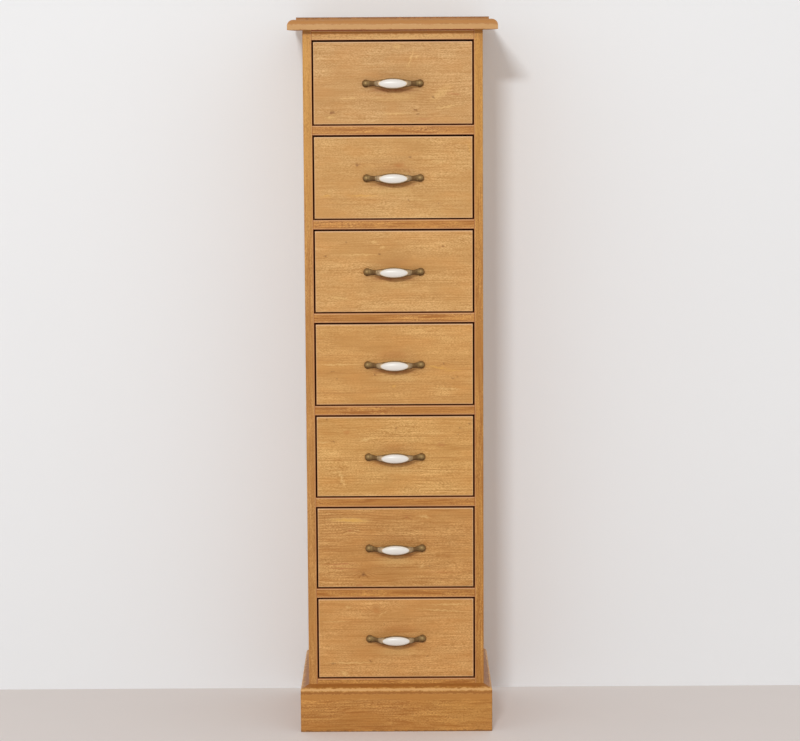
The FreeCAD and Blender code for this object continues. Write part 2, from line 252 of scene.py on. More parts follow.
# Streaks, knots and stains on each drawer front: kind, right of the middle and above it,
# length and height in millimetres, tilt in degrees, strength, and how far a knot pushes
# the growth rings out round it
MARKS = {
    1: [("pale", 8, 65, 16, 9, 0, 0.6, 3), ("pale", 32, 42, 34, 5, 72, 0.7, 0),
        ("pale", 44, 46, 12, 4, 30, 0.6, 0), ("dark", 63, 59, 5, 3, 0, 0.4, 0),
        ("dark", -109, -52, 7, 6, 0, 0.8, 8), ("pale", -112, -61, 22, 4, 8, 0.6, 0),
        ("red", -14, -24, 30, 9, -10, 0.45, 2), ("pale", -81, -27, 34, 3, 3, 0.5, 0),
        ("pale", 85, -18, 45, 16, 38, 0.45, 7), ("dark", 74, -25, 5, 5, 0, 0.7, 0),
        ("red", 110, -20, 24, 4, -6, 0.45, 0), ("pale", 98, -42, 40, 3, 12, 0.6, 0),
        ("dark", 41, -48, 5, 4, 0, 0.7, 5), ("dark", 43, -56, 4, 4, 0, 0.55, 0),
        ("pale", 4, -55, 56, 3, 1, 0.5, 0), ("red", 55, -64, 26, 6, 0, 0.4, 0)],
    2: [("dark", -65, 23, 8, 6, 0, 0.8, 8), ("dark", 29, 36, 4, 4, 0, 0.7, 3),
        ("orange", 10, 22, 16, 9, 0, 0.6, 3), ("red", 27, 11, 14, 4, -50, 0.6, 0),
        ("amber", 137, 50, 5, 22, 0, 0.5, 0), ("pale", 76, 29, 34, 3, 0, 0.5, 0),
        ("amber", -120, -32, 18, 5, 0, 0.6, 0), ("amber", -56, -32, 54, 4, 0, 0.6, 0),
        ("dark", 26, -40, 4, 4, 0, 0.6, 3), ("pale", 46, -40, 36, 2.5, 0, 0.5, 0),
        ("dark", 82, -47, 4, 4, 0, 0.6, 3), ("pale", 40, -15, 14, 4, 20, 0.5, 0)],
    3: [("dark", -85, 53, 4, 4, 0, 0.45, 2), ("dark", -123, 28, 5, 4, 0, 0.7, 4),
        ("pale", -60, 30, 66, 3, 0, 0.55, 0), ("dark", -25, 31, 5, 4, 0, 0.6, 3),
        ("pale", -20, 43, 10, 5, 20, 0.6, 0), ("pale", -35, 53, 12, 4, 10, 0.6, 0),
        ("dark", 88, 45, 5, 4, 0, 0.6, 4), ("pale", 53, 44, 7, 4, 0, 0.5, 0),
        ("pale", 101, 31, 8, 4, 0, 0.5, 0), ("pale", -98, -48, 46, 4, -8, 0.5, 2)],
    4: [("pale", -98, 0, 84, 2.5, 0, 0.6, 0), ("dark", 87, 0, 5, 5, 0, 0.7, 5),
        ("amber", 78, -6, 44, 5, -8, 0.65, 0), ("amber", 106, -12, 34, 4, 0, 0.55, 0),
        ("dark", -112, -13, 4, 3, 0, 0.55, 2), ("dark", -103, -26, 4, 3, 0, 0.55, 2),
        ("dark", -36, -18, 5, 4, 0, 0.7, 4), ("dark", 113, -23, 4, 3, 0, 0.55, 2),
        ("dark", 106, -26, 4, 3, 0, 0.5, 0), ("pale", 94, -45, 68, 3, -3, 0.55, 0),
        ("amber", -1, -40, 10, 6, 0, 0.6, 0)],
    5: [("dark", -122, 68, 6, 4, 0, 0.7, 3), ("dark", 136, 59, 5, 6, 0, 0.7, 3),
        ("dark", 120, 52, 4, 4, 0, 0.5, 0), ("dark", 114, 40, 5, 4, 0, 0.55, 3),
        ("dark", 1, 51, 4, 5, 0, 0.6, 3), ("orange", -87, 44, 14, 8, 30, 0.5, 3),
        ("pale", -54, 30, 18, 5, 10, 0.8, 0), ("dark", 3, 30, 4, 3, 0, 0.5, 0),
        ("dark", -113, 27, 5, 4, 0, 0.65, 3), ("pale", -130, 26, 20, 4, 0, 0.6, 0),
        ("red", 85, 21, 18, 8, 0, 0.35, 2), ("pale", -97, -40, 34, 6, -72, 0.75, 3),
        ("dark", -99, -50, 4, 4, 0, 0.45, 0)],
    6: [("pale", -82, 51, 76, 11, -2, 0.6, 4), ("amber", -84, 51, 62, 7, -2, 0.8, 0),
        ("red", -82, 32, 7, 5, 0, 0.75, 4), ("pale", -70, 32, 14, 3, 0, 0.5, 0),
        ("red", 21, 56, 6, 6, 0, 0.6, 4), ("pale", 52, 57, 26, 5, -10, 0.6, 0),
        ("red", -100, -30, 60, 2.5, 3, 0.6, 0), ("red", -98, -38, 52, 2.5, -4, 0.6, 0),
        ("dark", -59, -49, 9, 9, 0, 0.85, 9), ("red", -66, -69, 12, 5, 0, 0.5, 0),
        ("pale", 47, -35, 14, 6, 20, 0.5, 0), ("dark", 63, -35, 4, 3, 0, 0.5, 2),
        ("red", 88, -46, 90, 3, 0, 0.35, 0)],
    7: [("dark", -39, 71, 3, 6, 0, 0.7, 0), ("orange", -36, 50, 12, 10, 0, 0.5, 12),
        ("pale", -26, 44, 22, 3, 35, 0.5, 0), ("pale", -86, 58, 12, 4, 0, 0.6, 0),
        ("pale", 96, 62, 80, 2.5, 0, 0.6, 0), ("pale", 84, 51, 108, 2.5, -4, 0.6, 0),
        ("pale", -110, 31, 56, 2.5, 0, 0.5, 0), ("dark", -22, 26, 4, 3, 0, 0.5, 0),
        ("dark", -47, -43, 5, 4, 0, 0.7, 3), ("dark", -115, -47, 4, 4, 0, 0.55, 2),
        ("dark", 57, -35, 4, 5, 0, 0.5, 2), ("pale", -78, -46, 110, 2.5, 0, 0.5, 0),
        ("pale", -95, -66, 16, 8, -30, 0.6, 3)],
}
CARCASS_MARKS = {
    "front_rails": [("pale", 0, 502, 430, 24, 0, 0.7, 0)],
    "side_left": [("amber", 0, 560, 80, 620, 0, 0.5, 0)],
    "side_right": [("amber", 0, 560, 80, 560, 0, 0.45, 0)],
    "plinth_front": [("amber", 110, 0, 180, 90, 0, 0.2, 0)],
}
# Level lines along a moulding, mostly painted light: the shade and highlights of its profile,
# the shadow under the top board, and a dark painted shadow at the plinth's foot, with some
# stain in the hollows. Each gives a height, thickness, shares of the stain's red, green and
# blue, and strength
PLINTH_PAINTED_LIGHT_AND_STAIN = [(86, 8, (0.60, 0.44, 0.28), 0.85), (72.5, 4, (0.62, 0.48, 0.32), 0.75),
                (78.5, 4, (1.32, 1.54, 2.4), 0.8), (65, 10, (0.93, 0.84, 0.72), 0.8),
                (0, 4.2, (0.45, 0.42, 0.40), 0.9)]
PAINTED_LIGHT_AND_STAIN_BANDS = {
    "plinth_front": PLINTH_PAINTED_LIGHT_AND_STAIN, "plinth_left": PLINTH_PAINTED_LIGHT_AND_STAIN, "plinth_right": PLINTH_PAINTED_LIGHT_AND_STAIN,
    "top_board": [(1295, 6.4, (0.48, 0.38, 0.26), 0.9), (1288.2, 10, (0.91, 0.78, 0.60), 0.9),
                  (1278, 8, (1.10, 1.16, 1.21), 0.9)],
    "front_rails": [(1271, 12, (0.82, 0.70, 0.52), 0.9)],
    "side_left": [(1271, 12, (0.80, 0.74, 0.66), 0.9)],
    "side_right": [(1271, 12, (0.80, 0.74, 0.66), 0.9)],
}
# Colours of the marks; the last, a dark brown, paints the shadow under each handle
MARK_COLOURS = {"pale": "#E4BA76", "dark": "#7A481B", "red": "#AE6434",
                "amber": "#D6A04A", "orange": "#B77130", "rubbed": "#87450F"}

# Round the handles: how strongly a darker, warmer patch shows above the handle of each drawer,
# the painted shadow that the handle casts on the front below it, and a paler band of
# painted light below that shadow
ABOVE_HANDLE = {1: 0.05, 2: 0.24, 3: 0.2, 4: 0.4, 5: 0.32, 6: 0.28, 7: 0.4}
UNDER_HANDLE = ("rubbed", 0, -11.5, 78, 13, 0, 0.85, 0)
BELOW_HANDLE = ("pale", 0, -25, 84, 16, 0, 0.4, 0)

# Pale edges, partly wear and partly a painted highlight: colour, how much of it shows along
# the upper edge, and along the others
WEAR_AND_HIGHLIGHT_FRONT = ("#E4BF92", 0.85, 0.35)
WEAR_AND_HIGHLIGHT_RAIL = ("#D3A674", 0.85, 0.55)
WEAR_AND_HIGHLIGHT_SIDE = ("#D3A674", 0.3, 0.3)

# Shares of red, green and blue laid along the very edges at the joints round the drawers,
# partly stain and partly painted shade, and on the faces inside those joints, painted shade
# with some stain
JOINT_FRONT_STAIN_AND_SHADE = (0.36, 0.02, 0.0)
JOINT_CARCASS_STAIN_AND_SHADE = (0.55, 0.05, 0.0)
JOINT_INSIDE_SHADE_AND_STAIN = (0.46, 0.32, 0.20)

# Where the faces inside the joints begin and end, in millimetres: beside the middle,
# behind the fronts, before the boxes and under the top board
JOINT_ASIDE = (145.0, 144.6)
JOINT_FRONT_END = (-129.4, -128.4)
JOINT_REAR_END = (-112.0, -122.0)
JOINT_TOP_END = (1257.0, 1256.0)

# How each front took the stain, as shares of red, green and blue
TONES = {1: (0.97, 1.01, 1.14), 2: (0.99, 1.02, 1.05), 3: (1.01, 1.03, 1.06),
         4: (1.0, 0.98, 0.91), 5: (1.03, 1.04, 0.97), 6: (0.93, 0.88, 0.80),
         7: (0.99, 0.94, 0.90)}
# How strongly its fibres, its late wood and its dark streaks show
FIGURES = {1: (2.1, 0.5, 0.25), 2: (2.1, 0.5, 0.25), 3: (2.2, 0.6, 0.3), 4: (2.1, 0.6, 0.3),
           5: (2.4, 0.7, 0.4), 6: (2.7, 1.0, 0.7), 7: (2.3, 0.6, 0.35)}
# Bare planed boards show them faintly, and have no varnish
PLANED = {"depth": 0.8, "streaks": 0.1, "red": 0.15, "varnished": False}

# The carcass's boards: name, stain, grain, where the tree's heart lies behind and beside
# the board, in millimetres, and how strongly fibres, late wood and streaks show
BOARDS = {
    "side_left": ("left_side", "left_stain", GRAIN_ALONG_Z, (40.0, 70.0), 2.6, 0.9, 0.6),
    "side_right": ("right_side", "right_stain", GRAIN_ALONG_Z, (40.0, -70.0), 3.1, 0.9, 0.8),
    "front_rails": ("rails", "rail_stain", GRAIN_ALONG_X, (60.0, 900.0), 4.0, 1.3, 1.6),
    "bottom_board": ("bottom", "rail_stain", GRAIN_ALONG_X, (90.0, 60.0), 3.4, 1.2, 1.3),
    "top_board": ("top", "top_stain", GRAIN_ALONG_X, (70.0, 120.0), 2.2, 0.8, 0.7),
    "plinth_front": ("plinth", "plinth_stain", GRAIN_ALONG_X, (50.0, 90.0), 3.4, 1.0, 1.0),
    "plinth_left": ("plinth_left", "plinth_stain", GRAIN_ALONG_Y, (40.0, 90.0), 2.8, 1.0,
                    0.9),
    "plinth_right": ("plinth_right", "plinth_stain", GRAIN_ALONG_Y, (40.0, 90.0), 2.8, 1.0,
                     0.9),
}

# Middle and half size of a face whose edges get the pale band and the dark arris, and the
# pitch of faces like it, in millimetres. An edge that is far away gets neither. The upper
# edges of the rails and the bottom board are level with the floors of the openings.
FAR = 5000.0
OPENING_HALF_WIDTH = 144.0
RAIL_HALF = (FAR, FAR, 8.5)
BOTTOM_MIDDLE = 87.5
PITCH = 168.0
OUTLINES = {
    "front_rails": ((0.0, 0.0, BOTTOM_MIDDLE + PITCH), RAIL_HALF, PITCH),
    "bottom_board": ((0.0, 0.0, BOTTOM_MIDDLE), RAIL_HALF, PITCH),
    "side_left": ((-FAR - OPENING_HALF_WIDTH, 0.0, 0.0), (FAR, FAR, FAR), 0.0),
    "side_right": ((FAR + OPENING_HALF_WIDTH, 0.0, 0.0), (FAR, FAR, FAR), 0.0),
}

# The stage, in metres and degrees; the lens and its film in millimetres
FLOOR_REACH, WALL_REACH, WALL_HEIGHT = 7.0, 2.2, 2.6
LENS, FILM_WIDTH = 114.69, 36.0
CAMERA_PLACE = (0.0112, -4.685, 1.251)
CAMERA_ANGLES = (-7.344, -0.017, 0.327)          # pitch, yaw and roll
LAMP_PLACE, LAMP_AIM = (-0.70, -5.2, 2.72), (0.0, 0.0, 0.65)
LAMP_COLOUR = (0.94, 0.98, 1.0)
DAYLIGHT_COLOUR = (1.0, 0.96, 0.91, 1.0)


def fir_figure():
    """The figure of a sawn fir board, as a group: Place is in millimetres from the middle
    of the board, with the grain along X, Heart is where the tree's heart lies, and Swell
    is how far a knot pushes the rings out."""
    _, add, given = group(
        "fir_figure", "ShaderNodeTree",
        {"Place": "Vector", "Heart": "Vector", "Swell": "Float", "Ring spacing": "Float",
         "Fibre length": "Float", "Fibre width": "Float"},
        dict.fromkeys(("Rings", "Fibres", "Streaks", "Blotches", "Red"), "Float"))

    def clouds(place, length, width, detail, low, high):
        """Drawn-out noise, spread over 0 to 1."""
        return add("MapRange", drawn_noise(add, place, length, width, Detail=detail),
                   low, high)

    # The grain wanders a few millimetres up and down along the board.
    wander = drawn_noise(add, given["Place"], 240, 80, Detail=1.5)["Color"]
    wander = add("VectorMath SUBTRACT", wander, (0.5, 0.5, 0.5))
    place = add("VectorMath MULTIPLY_ADD", wander, (0.0, 11.0, 11.0), given["Place"])

    # Growth rings lie round the heart, and each ends in a line of dense late wood.
    from_heart = add("VectorMath SUBTRACT", place, given["Heart"])
    across = add("VectorMath MULTIPLY", from_heart, (0.0, 1.0, 1.0))
    radius = add("VectorMath LENGTH", across)["Value"]
    pushed = add("Math ADD", radius, given["Swell"])
    year = add("Math FRACT", add("Math DIVIDE", pushed, given["Ring spacing"]))
    late = add("Math POWER", year, 2.4)
    near_knot = add("Math MULTIPLY", given["Swell"], 0.22, use_clamp=True)
    fading = add("Math MAXIMUM", clouds(place, 240, 9, 1, 0.40, 0.72), near_knot)
    rings = add("Math MULTIPLY", late, fading)

    # Brushing lifts long thin fibres, in fine ones and in broader bundles.
    width = given["Fibre width"]
    fine = add("VectorMath DIVIDE", place,
               add("CombineXYZ", given["Fibre length"], width, width))
    fine = add("TexNoise", {"Vector": fine, "Scale": 1.0, "Detail": 1.0})
    fine = add("MapRange", fine, 0.3, 0.7)
    fibres = add("Math MULTIPLY_ADD", fine, 1.6, clouds(place, 230, 3.4, 1, 0.32, 0.68))
    flecks = clouds(place, 3.2, 1.2, 0, 0.26, 0.74)
    fibres = add("Math DIVIDE", add("Math MULTIPLY_ADD", flecks, 2.6, fibres), 5.0)

    # Darker streaks run a hand's breadth along the grain, and the stain soaks in
    # unevenly, in drawn-out patches, some of them redder.
    elsewhere = add("VectorMath ADD", given["Place"], (411.0, 87.0, 0.0))
    add("NodeGroupOutput", {
        "Rings": rings, "Fibres": fibres, "Streaks": clouds(place, 52, 2.9, 2, 0.50, 0.72),
        "Blotches": clouds(given["Place"], 130, 42, 2, 0.40, 0.66),
        "Red": clouds(elsewhere, 64, 26, 2, 0.44, 0.72)})


def edge_distances(add, place, middle, half, pitch):
    """How far a place lies outside the outline of a board's face, and above its upper
    edge, in millimetres. With a pitch, boards like it lie one above the other."""
    offset = add("VectorMath SUBTRACT", place, middle)
    if pitch:
        offset = add("VectorMath WRAP", offset, (FAR, FAR, pitch / 2),
                     (-FAR, -FAR, -pitch / 2))
    above = add("Math SUBTRACT", add("SeparateXYZ", offset)["Z"], half[2])
    beyond = add("VectorMath SUBTRACT", add("VectorMath ABSOLUTE", offset), half)
    axes = add("SeparateXYZ", beyond)
    return add("Math MAXIMUM", axes["X"], axes["Z"]), above


def joint_faces(add, place, front):
    """Near 1 on the faces inside the narrow joints between the drawers and the carcass.
    Front is how far a face is turned from the drawers' fronts: -1 faces as they do."""
    axes = add("SeparateXYZ", place)
    return within(add, (add("Math ABSOLUTE", axes["X"]), *JOINT_ASIDE),
                  (axes["Y"], *JOINT_FRONT_END), (axes["Y"], *JOINT_REAR_END),
                  (axes["Z"], *JOINT_TOP_END), (front, -0.75, -0.35), 0.9)


def fir(add, coordinates, place, wood, stain, grain, seed, middle=(0.0, 0.0, 0.0),
        heart=(45.0, 110.0), depth=2.0, late=0.5, streaks=0.25, red=0.5, marks=(), bands=(),
        outline=None, worn=WEAR_AND_HIGHLIGHT_RAIL, joint_shares=JOINT_CARCASS_STAIN_AND_SHADE, varnished=True):
    """Sawn fir, brushed, stained and varnished to a satin, or left bare.

    The eye sees fine raised fibres along the grain, growth rings, patches where the stain
    soaked in, small knots and pale streaks, and pale edges, partly wear and partly a painted
    highlight. Fibres are about 0.3 mm wide in the wood, too fine to show, so they are drawn
    at more than 1 mm. Middle is the middle of the board, and heart is how far the tree's
    heart lies behind it and beside it, all in millimetres. Depth, late, streaks and red are
    how strongly fibres, rings, dark streaks and red patches show. Bands are level lines of
    painted shade and highlight, with some stain, along a moulding: the height of each, its
    thickness, its shares of the stain and its strength. Outline is the middle and the half
    size of a face with pale edges, and the pitch of faces like it."""
    turn = Euler(grain).to_matrix()
    shift = Vector((seed * 373.0, 0.0, 0.0)) - turn @ Vector(middle)
    board = add("Mapping", coordinates["Object"], shift, grain, TO_MILLIMETRES)
    normal = add("SeparateXYZ", coordinates["Normal"])

    def ellipse(place, spot, lean, half_length, half_height, outer, inner, strength):
        """Rises to its strength inside an ellipse on the face of the board."""
        turned = add("Mapping", place, spot, lean, (half_length, 1000.0, half_height),
                     vector_type="TEXTURE")
        reach = add("VectorMath LENGTH", turned)["Value"]
        return add("MapRange", reach, outer, inner, 0.0, strength, **SMOOTH)

    # Marks are ellipses with a ragged outline, and a knot pushes the rings round it.
    ragged = add("TexNoise", {"Vector": place, "Scale": 0.14, "Detail": 3.0})["Color"]
    ragged = add("VectorMath SUBTRACT", ragged, (0.5, 0.5, 0.5))
    ragged = add("VectorMath MULTIPLY_ADD", ragged, (18.0, 0.0, 7.0), place)
    swell, spots = 0.0, []
    for kind, right, up, length, height, tilt, strength, push in marks:
        spot = (middle[0] + right, middle[1], middle[2] + up)
        cover = ellipse(ragged, spot, (0.0, -math.radians(tilt), 0.0), length / 2,
                        height / 2, 1.4, 0.2, strength)
        spots.append((linear(MARK_COLOURS[kind]), cover))
        if push:
            spread = 8.0 + 2.0 * max(length, height)
            bulge = ellipse(place, spot, (0.0, 0.0, 0.0), spread, spread * 0.5, 1.0, 0.0,
                            push)
            swell = add("Math ADD", bulge, swell)

    figure = add("Group", {"Place": board, "Swell": swell, "Heart": (0.0, *heart),
                           "Ring spacing": wood.ring_spacing / MM,
                           "Fibre length": wood.fibre_length / MM,
                           "Fibre width": wood.fibre_width / MM},
                 node_tree=bpy.data.node_groups["fir_figure"])
    fibres = figure["Fibres"]

    # Light fibres, patches, streaks and late wood lie over the dark fibres, and the marks
    # over them all, broken up by the fibres.
    layers = [(tinted(stain, 1 + 0.16 * depth, 1 + 0.22 * depth, 1 + 0.36 * depth), fibres),
              (tinted(stain, 0.85, 0.77, 0.64), figure["Blotches"], 0.8),
              (tinted(stain, 0.99, 0.83, 0.66), figure["Red"], red),
              (tinted(stain, 0.70, 0.54, 0.34), figure["Streaks"], streaks),
              (tinted(stain, 0.62, 0.46, 0.26), figure["Rings"], late)]
    if spots:
        broken = add("MapRange", fibres, 0.2, 0.6, 0.45)
        layers += [(*spot, broken) for spot in spots]

    # Level bands paint the shade and highlights of the mouldings, the shadow under the top
    # board and the shadow at the plinth's foot, with some stain in the hollows, on all but
    # faces that look straight up.
    if bands:
        height = add("SeparateXYZ", ragged)["Z"]
        upright = add("MapRange", normal["Z"], 0.995, 0.97)
    for level, thickness, shares, strength in bands:
        away = add("Math ABSOLUTE", add("Math SUBTRACT", height, level))
        cover = add("MapRange", away, 0.65 * thickness, 0.35 * thickness, 0.0, strength,
                    **SMOOTH)
        layers.append((tinted(stain, *shares), cover, upright))

    # End grain drinks more stain and is darker.
    along = add("VectorMath DOT_PRODUCT", coordinates["Normal"],
                turn.inverted() @ Vector((1.0, 0.0, 0.0)))["Value"]
    layers.append((tinted(stain, 0.60, 0.42, 0.26),
                   (add("Math ABSOLUTE", along), 0.45, 1.0, 0.0, 0.6)))

    # A front edge gets a pale band, partly wear and partly a painted highlight, the upper one
    # most, and its very arris a dark line, partly stain and partly painted shade.
    if outline:
        rubbed, upper, others = worn
        beyond, above = edge_distances(add, place, *outline)
        rim = add("MapRange", beyond, -2.6, -1.4, **SMOOTH)
        facing = (normal["Y"], -0.3, -0.7)
        layers += [(linear(rubbed), rim, (above, -6.0, -3.0, others, upper), facing),
                   (tinted(stain, *joint_shares), (beyond, -0.8, -0.3, 0.0, 0.9), facing)]

    # The faces inside the joints round the drawers get painted shade, with some stain, and are
    # dulled.
    joint = joint_faces(add, place, normal["Y"])
    layers.append((tinted(stain, *JOINT_INSIDE_SHADE_AND_STAIN), joint))
    dark = tinted(stain, 1 - 0.17 * depth, 1 - 0.23 * depth, 1 - 0.33 * depth)
    relief = add("Math ADD", figure["Rings"], fibres)
    bump = add("Bump", {"Strength": 0.5, "Distance": wood.brush_depth, "Height": relief})
    dull, bright = (0.58, 0.44) if varnished else (0.74, 0.62)
    roughness = add("Math MAXIMUM", add("MapRange", fibres, 0.0, 1.0, dull, bright), joint)
    return {"Base Color": layered(add, dark, layers), "Roughness": roughness,
            "Normal": bump, "Specular IOR Level": 0.35}


def plywood(add, coordinates, place, wood):
    """Birch plywood, sanded: a pale even face with a faint rolling figure, and thin
    darker plies at its edges."""
    figure = drawn_noise(add, place, 160, 22, Detail=3.0, Distortion=0.6)
    pores = drawn_noise(add, place, 14, 0.9)
    # Plies are about 1 mm thick, and every second one shows its dark end grain.
    ply = add("Math PINGPONG", add("SeparateXYZ", place)["Z"], 1.0)
    facing = add("Math ABSOLUTE", add("SeparateXYZ", coordinates["Normal"])["Z"])
    shade = layered(add, tinted(wood.birch, 0.88, 0.84, 0.78),
                    [(tinted(wood.birch, 1.06, 1.06, 1.06), figure),
                     (tinted(wood.birch, 0.6, 0.5, 0.38), ply, (facing, 0.5, 0.2))])
    bump = add("Bump", {"Strength": 0.15, "Distance": 0.1 * MM, "Height": pores})
    roughness = add("MapRange", pores, 0.0, 1.0, 0.52, 0.66)
    return {"Base Color": shade, "Roughness": roughness, "Normal": bump}


def hardboard(add, coordinates, place, wood):
    """Hardboard, pressed smooth on its face: brown, with short matted fibres that show as
    fine flecks, and a slight shine."""
    # Flecks are 0.5 mm in the board, drawn at about 2 mm.
    flecks = add("TexNoise", {"Vector": place, "Scale": 0.5, "Detail": 3.0,
                              "Distortion": 1.5})
    clouds = add("TexNoise", {"Vector": place, "Scale": 0.012, "Detail": 3.0})
    mixed = add("Math MULTIPLY_ADD", clouds, 0.3, flecks)
    shade = layered(add, tinted(wood.hardboard, 0.82, 0.80, 0.78),
                    [(tinted(wood.hardboard, 1.12, 1.12, 1.14), (mixed, 0.4, 0.9))])
    bump = add("Bump", {"Strength": 0.2, "Distance": 0.15 * MM, "Height": flecks})
    roughness = add("MapRange", flecks, 0.0, 1.0, 0.5, 0.62)
    return {"Base Color": shade, "Roughness": roughness, "Normal": bump}


def finish(node, made):
    """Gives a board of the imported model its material."""
    board = frame["nodes"][node]
    for slot in board.material_slots:
        slot.material = made
    if not board.material_slots:
        board.data.materials.append(made)


# ---- metal and porcelain

def antique_brass(add, coordinates, place, handles, lowest, pitch):
    """Cast brass, darkened, with signs of rubbing: olive brown, almost black in the hollows
    and where it turns away, warmer and brighter where it faces out, with painted shade on its
    undersides and a pale painted highlight, partly polishing, on the ends of its arms. The
    lowest handle's middle and the pitch of the handles are heights in millimetres."""
    outward = add("VectorMath DOT_PRODUCT", coordinates["Normal"], (0.0, -1.0, 0.25))["Value"]
    tarnish = add("TexNoise", {"Vector": place, "Scale": 0.28, "Detail": 3.0})
    pits = add("TexNoise", {"Vector": place, "Scale": 1.6, "Detail": 2.0})
    rubbed = add("Math MULTIPLY_ADD", tarnish, 0.9, outward)
    # A pale painted highlight, partly from polishing, lies on the ends of the arms beside the
    # porcelain, the left one most.
    axes = add("SeparateXYZ", place)
    aside = add("Math ABSOLUTE", axes["X"])
    level = add("Math WRAP", axes["Z"], lowest + pitch / 2, lowest - pitch / 2)
    level = add("Math ABSOLUTE", add("Math SUBTRACT", level, lowest))
    polish_and_highlight = within(add, add("MapRange", aside, 34.5, 25.0, **SMOOTH),
                    (axes["X"], -5.0, 5.0, 1.0, 0.7), (aside, 19.5, 23.5),
                    (level, 6.0, 2.5))
    rubbed = add("MapRange", add("Math ADD", rubbed, polish_and_highlight), 0.9, 2.1, **SMOOTH)
    # The feet are an even dull olive.
    feet = add("MapRange", aside, 40.0, 43.5, 0.0, 0.85)
    rubbed = add("Mix", {0: feet, 2: rubbed, 3: 0.6})
    # The patina is painted darker still on the undersides, as shade.
    upward = add("SeparateXYZ", coordinates["Normal"])["Z"]
    shade = layered(add, tinted(handles.patina),
                    [(tinted(handles.brass), rubbed), (tinted(handles.polished), polish_and_highlight),
                     (tinted(handles.patina, 0.5, 0.42, 0.34), (upward, 0.0, -0.7, 0.0, 0.7))])
    # Thick patina is dull and half hides the metal.
    metallic = add("MapRange", rubbed, 0.0, 1.0, 0.45)
    roughness = add("MapRange", rubbed, 0.0, 1.0, 0.66, 0.40)
    bump = add("Bump", {"Strength": 0.2, "Distance": 0.12 * MM, "Height": pits})
    return {"Base Color": shade, "Metallic": metallic, "Roughness": roughness,
            "Normal": bump}


def glazed_porcelain(add, coordinates, place, handles):
    """White porcelain under a clear glaze gone a little dull with handling: smooth, with
    a soft highlight, and at its edge, where it turns from the front, a warmer tone that paints
    the reflection of the wood round it."""
    ripple = add("TexNoise", {"Vector": place, "Scale": 0.16, "Detail": 1.0})
    cloud = add("TexNoise", {"Vector": place, "Scale": 0.07})
    outward = add("SeparateXYZ", coordinates["Normal"])["Y"]
    shade = layered(add, tinted(handles.porcelain),
                    [(tinted(handles.porcelain, 0.97, 0.95, 0.92), cloud),
                     (tinted(handles.porcelain, 1.14, 1.0, 0.86),
                      (outward, -0.75, -0.25, 0.0, 0.75))])
    bump = add("Bump", {"Strength": 0.3, "Distance": 0.1 * MM, "Height": ripple})
    roughness = add("MapRange", cloud, 0.0, 1.0, 0.28, 0.36)
    return {"Base Color": shade, "Roughness": roughness, "IOR": 1.52, "Normal": bump}


def zinc_plated_steel(add, coordinates, place):
    """Steel with a bright zinc plate: cool grey, with faint yellowish spangles and the
    fine marks of handling."""
    spangle = add("TexNoise", {"Vector": place, "Scale": 0.9, "Detail": 2.0})
    shade = layered(add, linear("#B9B49F"), [(linear("#C9CCCF"), spangle)])
    roughness = add("MapRange", spangle, 0.0, 1.0, 0.38, 0.22)
    bump = add("Bump", {"Strength": 0.1, "Distance": 0.05 * MM, "Height": spangle})
    return {"Base Color": shade, "Metallic": 1.0, "Roughness": roughness, "Normal": bump}


# ---- shaping

def shell(rings, looped=False):
    """A closed mesh through rings of points: with a face over its first and its last
    ring, or looped, with its last ring joined to its first."""
    mesh = bmesh.new()
    rows = [[mesh.verts.new(point) for point in ring] for ring in rings]
    for near, far in zip(rows, rows[1:] + (rows[:1] if looped else [])):
        for i, vertex in enumerate(near):
            j = (i + 1) % len(near)
            mesh.faces.new((vertex, near[j], far[j], far[i]))
    if not looped:
        mesh.faces.new(rows[0])
        mesh.faces.new(rows[-1])
    return mesh


def bead(loop, radius, sides=12):
    """A round bead laid along a closed loop of points."""
    middle = sum(loop, Vector()) / len(loop)
    turns = [2 * math.pi * k / sides for k in range(sides)]
    rings = []
    for i, point in enumerate(loop):
        ahead = (loop[(i + 1) % len(loop)] - loop[i - 1]).normalized()
        outward = point - middle
        outward = (outward - outward.dot(ahead) * ahead).normalized()
        sideways = ahead.cross(outward)
        rings.append([point + radius * (math.cos(a) * outward + math.sin(a) * sideways)
                      for a in turns])
    return shell(rings, looped=True)


def joined(name, shells):
    """One mesh from several closed shells, all with their faces outwards."""
    whole = bmesh.new()
    for part in shells:
        bmesh.ops.remove_doubles(part, verts=part.verts, dist=1e-5)
        bmesh.ops.recalc_face_normals(part, faces=part.faces)
        copy = bpy.data.meshes.new("shell")
        part.to_mesh(copy)
        part.free()
        whole.from_mesh(copy)
        bpy.data.meshes.remove(copy)
    mesh = bpy.data.meshes.new(name)
    whole.to_mesh(mesh)
    whole.free()
    return mesh


def plain_mesh(source, name):
    """The mesh of an object with its modifiers applied; the object is removed."""
    bpy.context.view_layer.update()
    graph = bpy.context.evaluated_depsgraph_get()
    mesh = bpy.data.meshes.new_from_object(source.evaluated_get(graph),
                                           preserve_all_data_layers=True, depsgraph=graph)
    mesh.name = name
    bpy.data.objects.remove(source)
    return mesh


def place_object(name, mesh):
    """A new object at the origin of the scene, whose place is in its mesh."""
    piece = bpy.data.objects.new(name, mesh)
    bpy.context.scene.collection.objects.link(piece)
    return piece


def oval_ring(half_length, half_height, standoff, count=64, middle=0.0):
    """Points on an oval parallel to the drawer front, in millimetres from its middle."""
    turns = [2 * math.pi * k / count for k in range(count)]
    return [Vector((half_length * math.cos(a), -standoff, half_height * math.sin(a)))
            + Vector((middle, 0, 0)) for a in turns]


def smooth_step(share):
    share = min(1.0, max(0.0, share))
    return share * share * (3 - 2 * share)


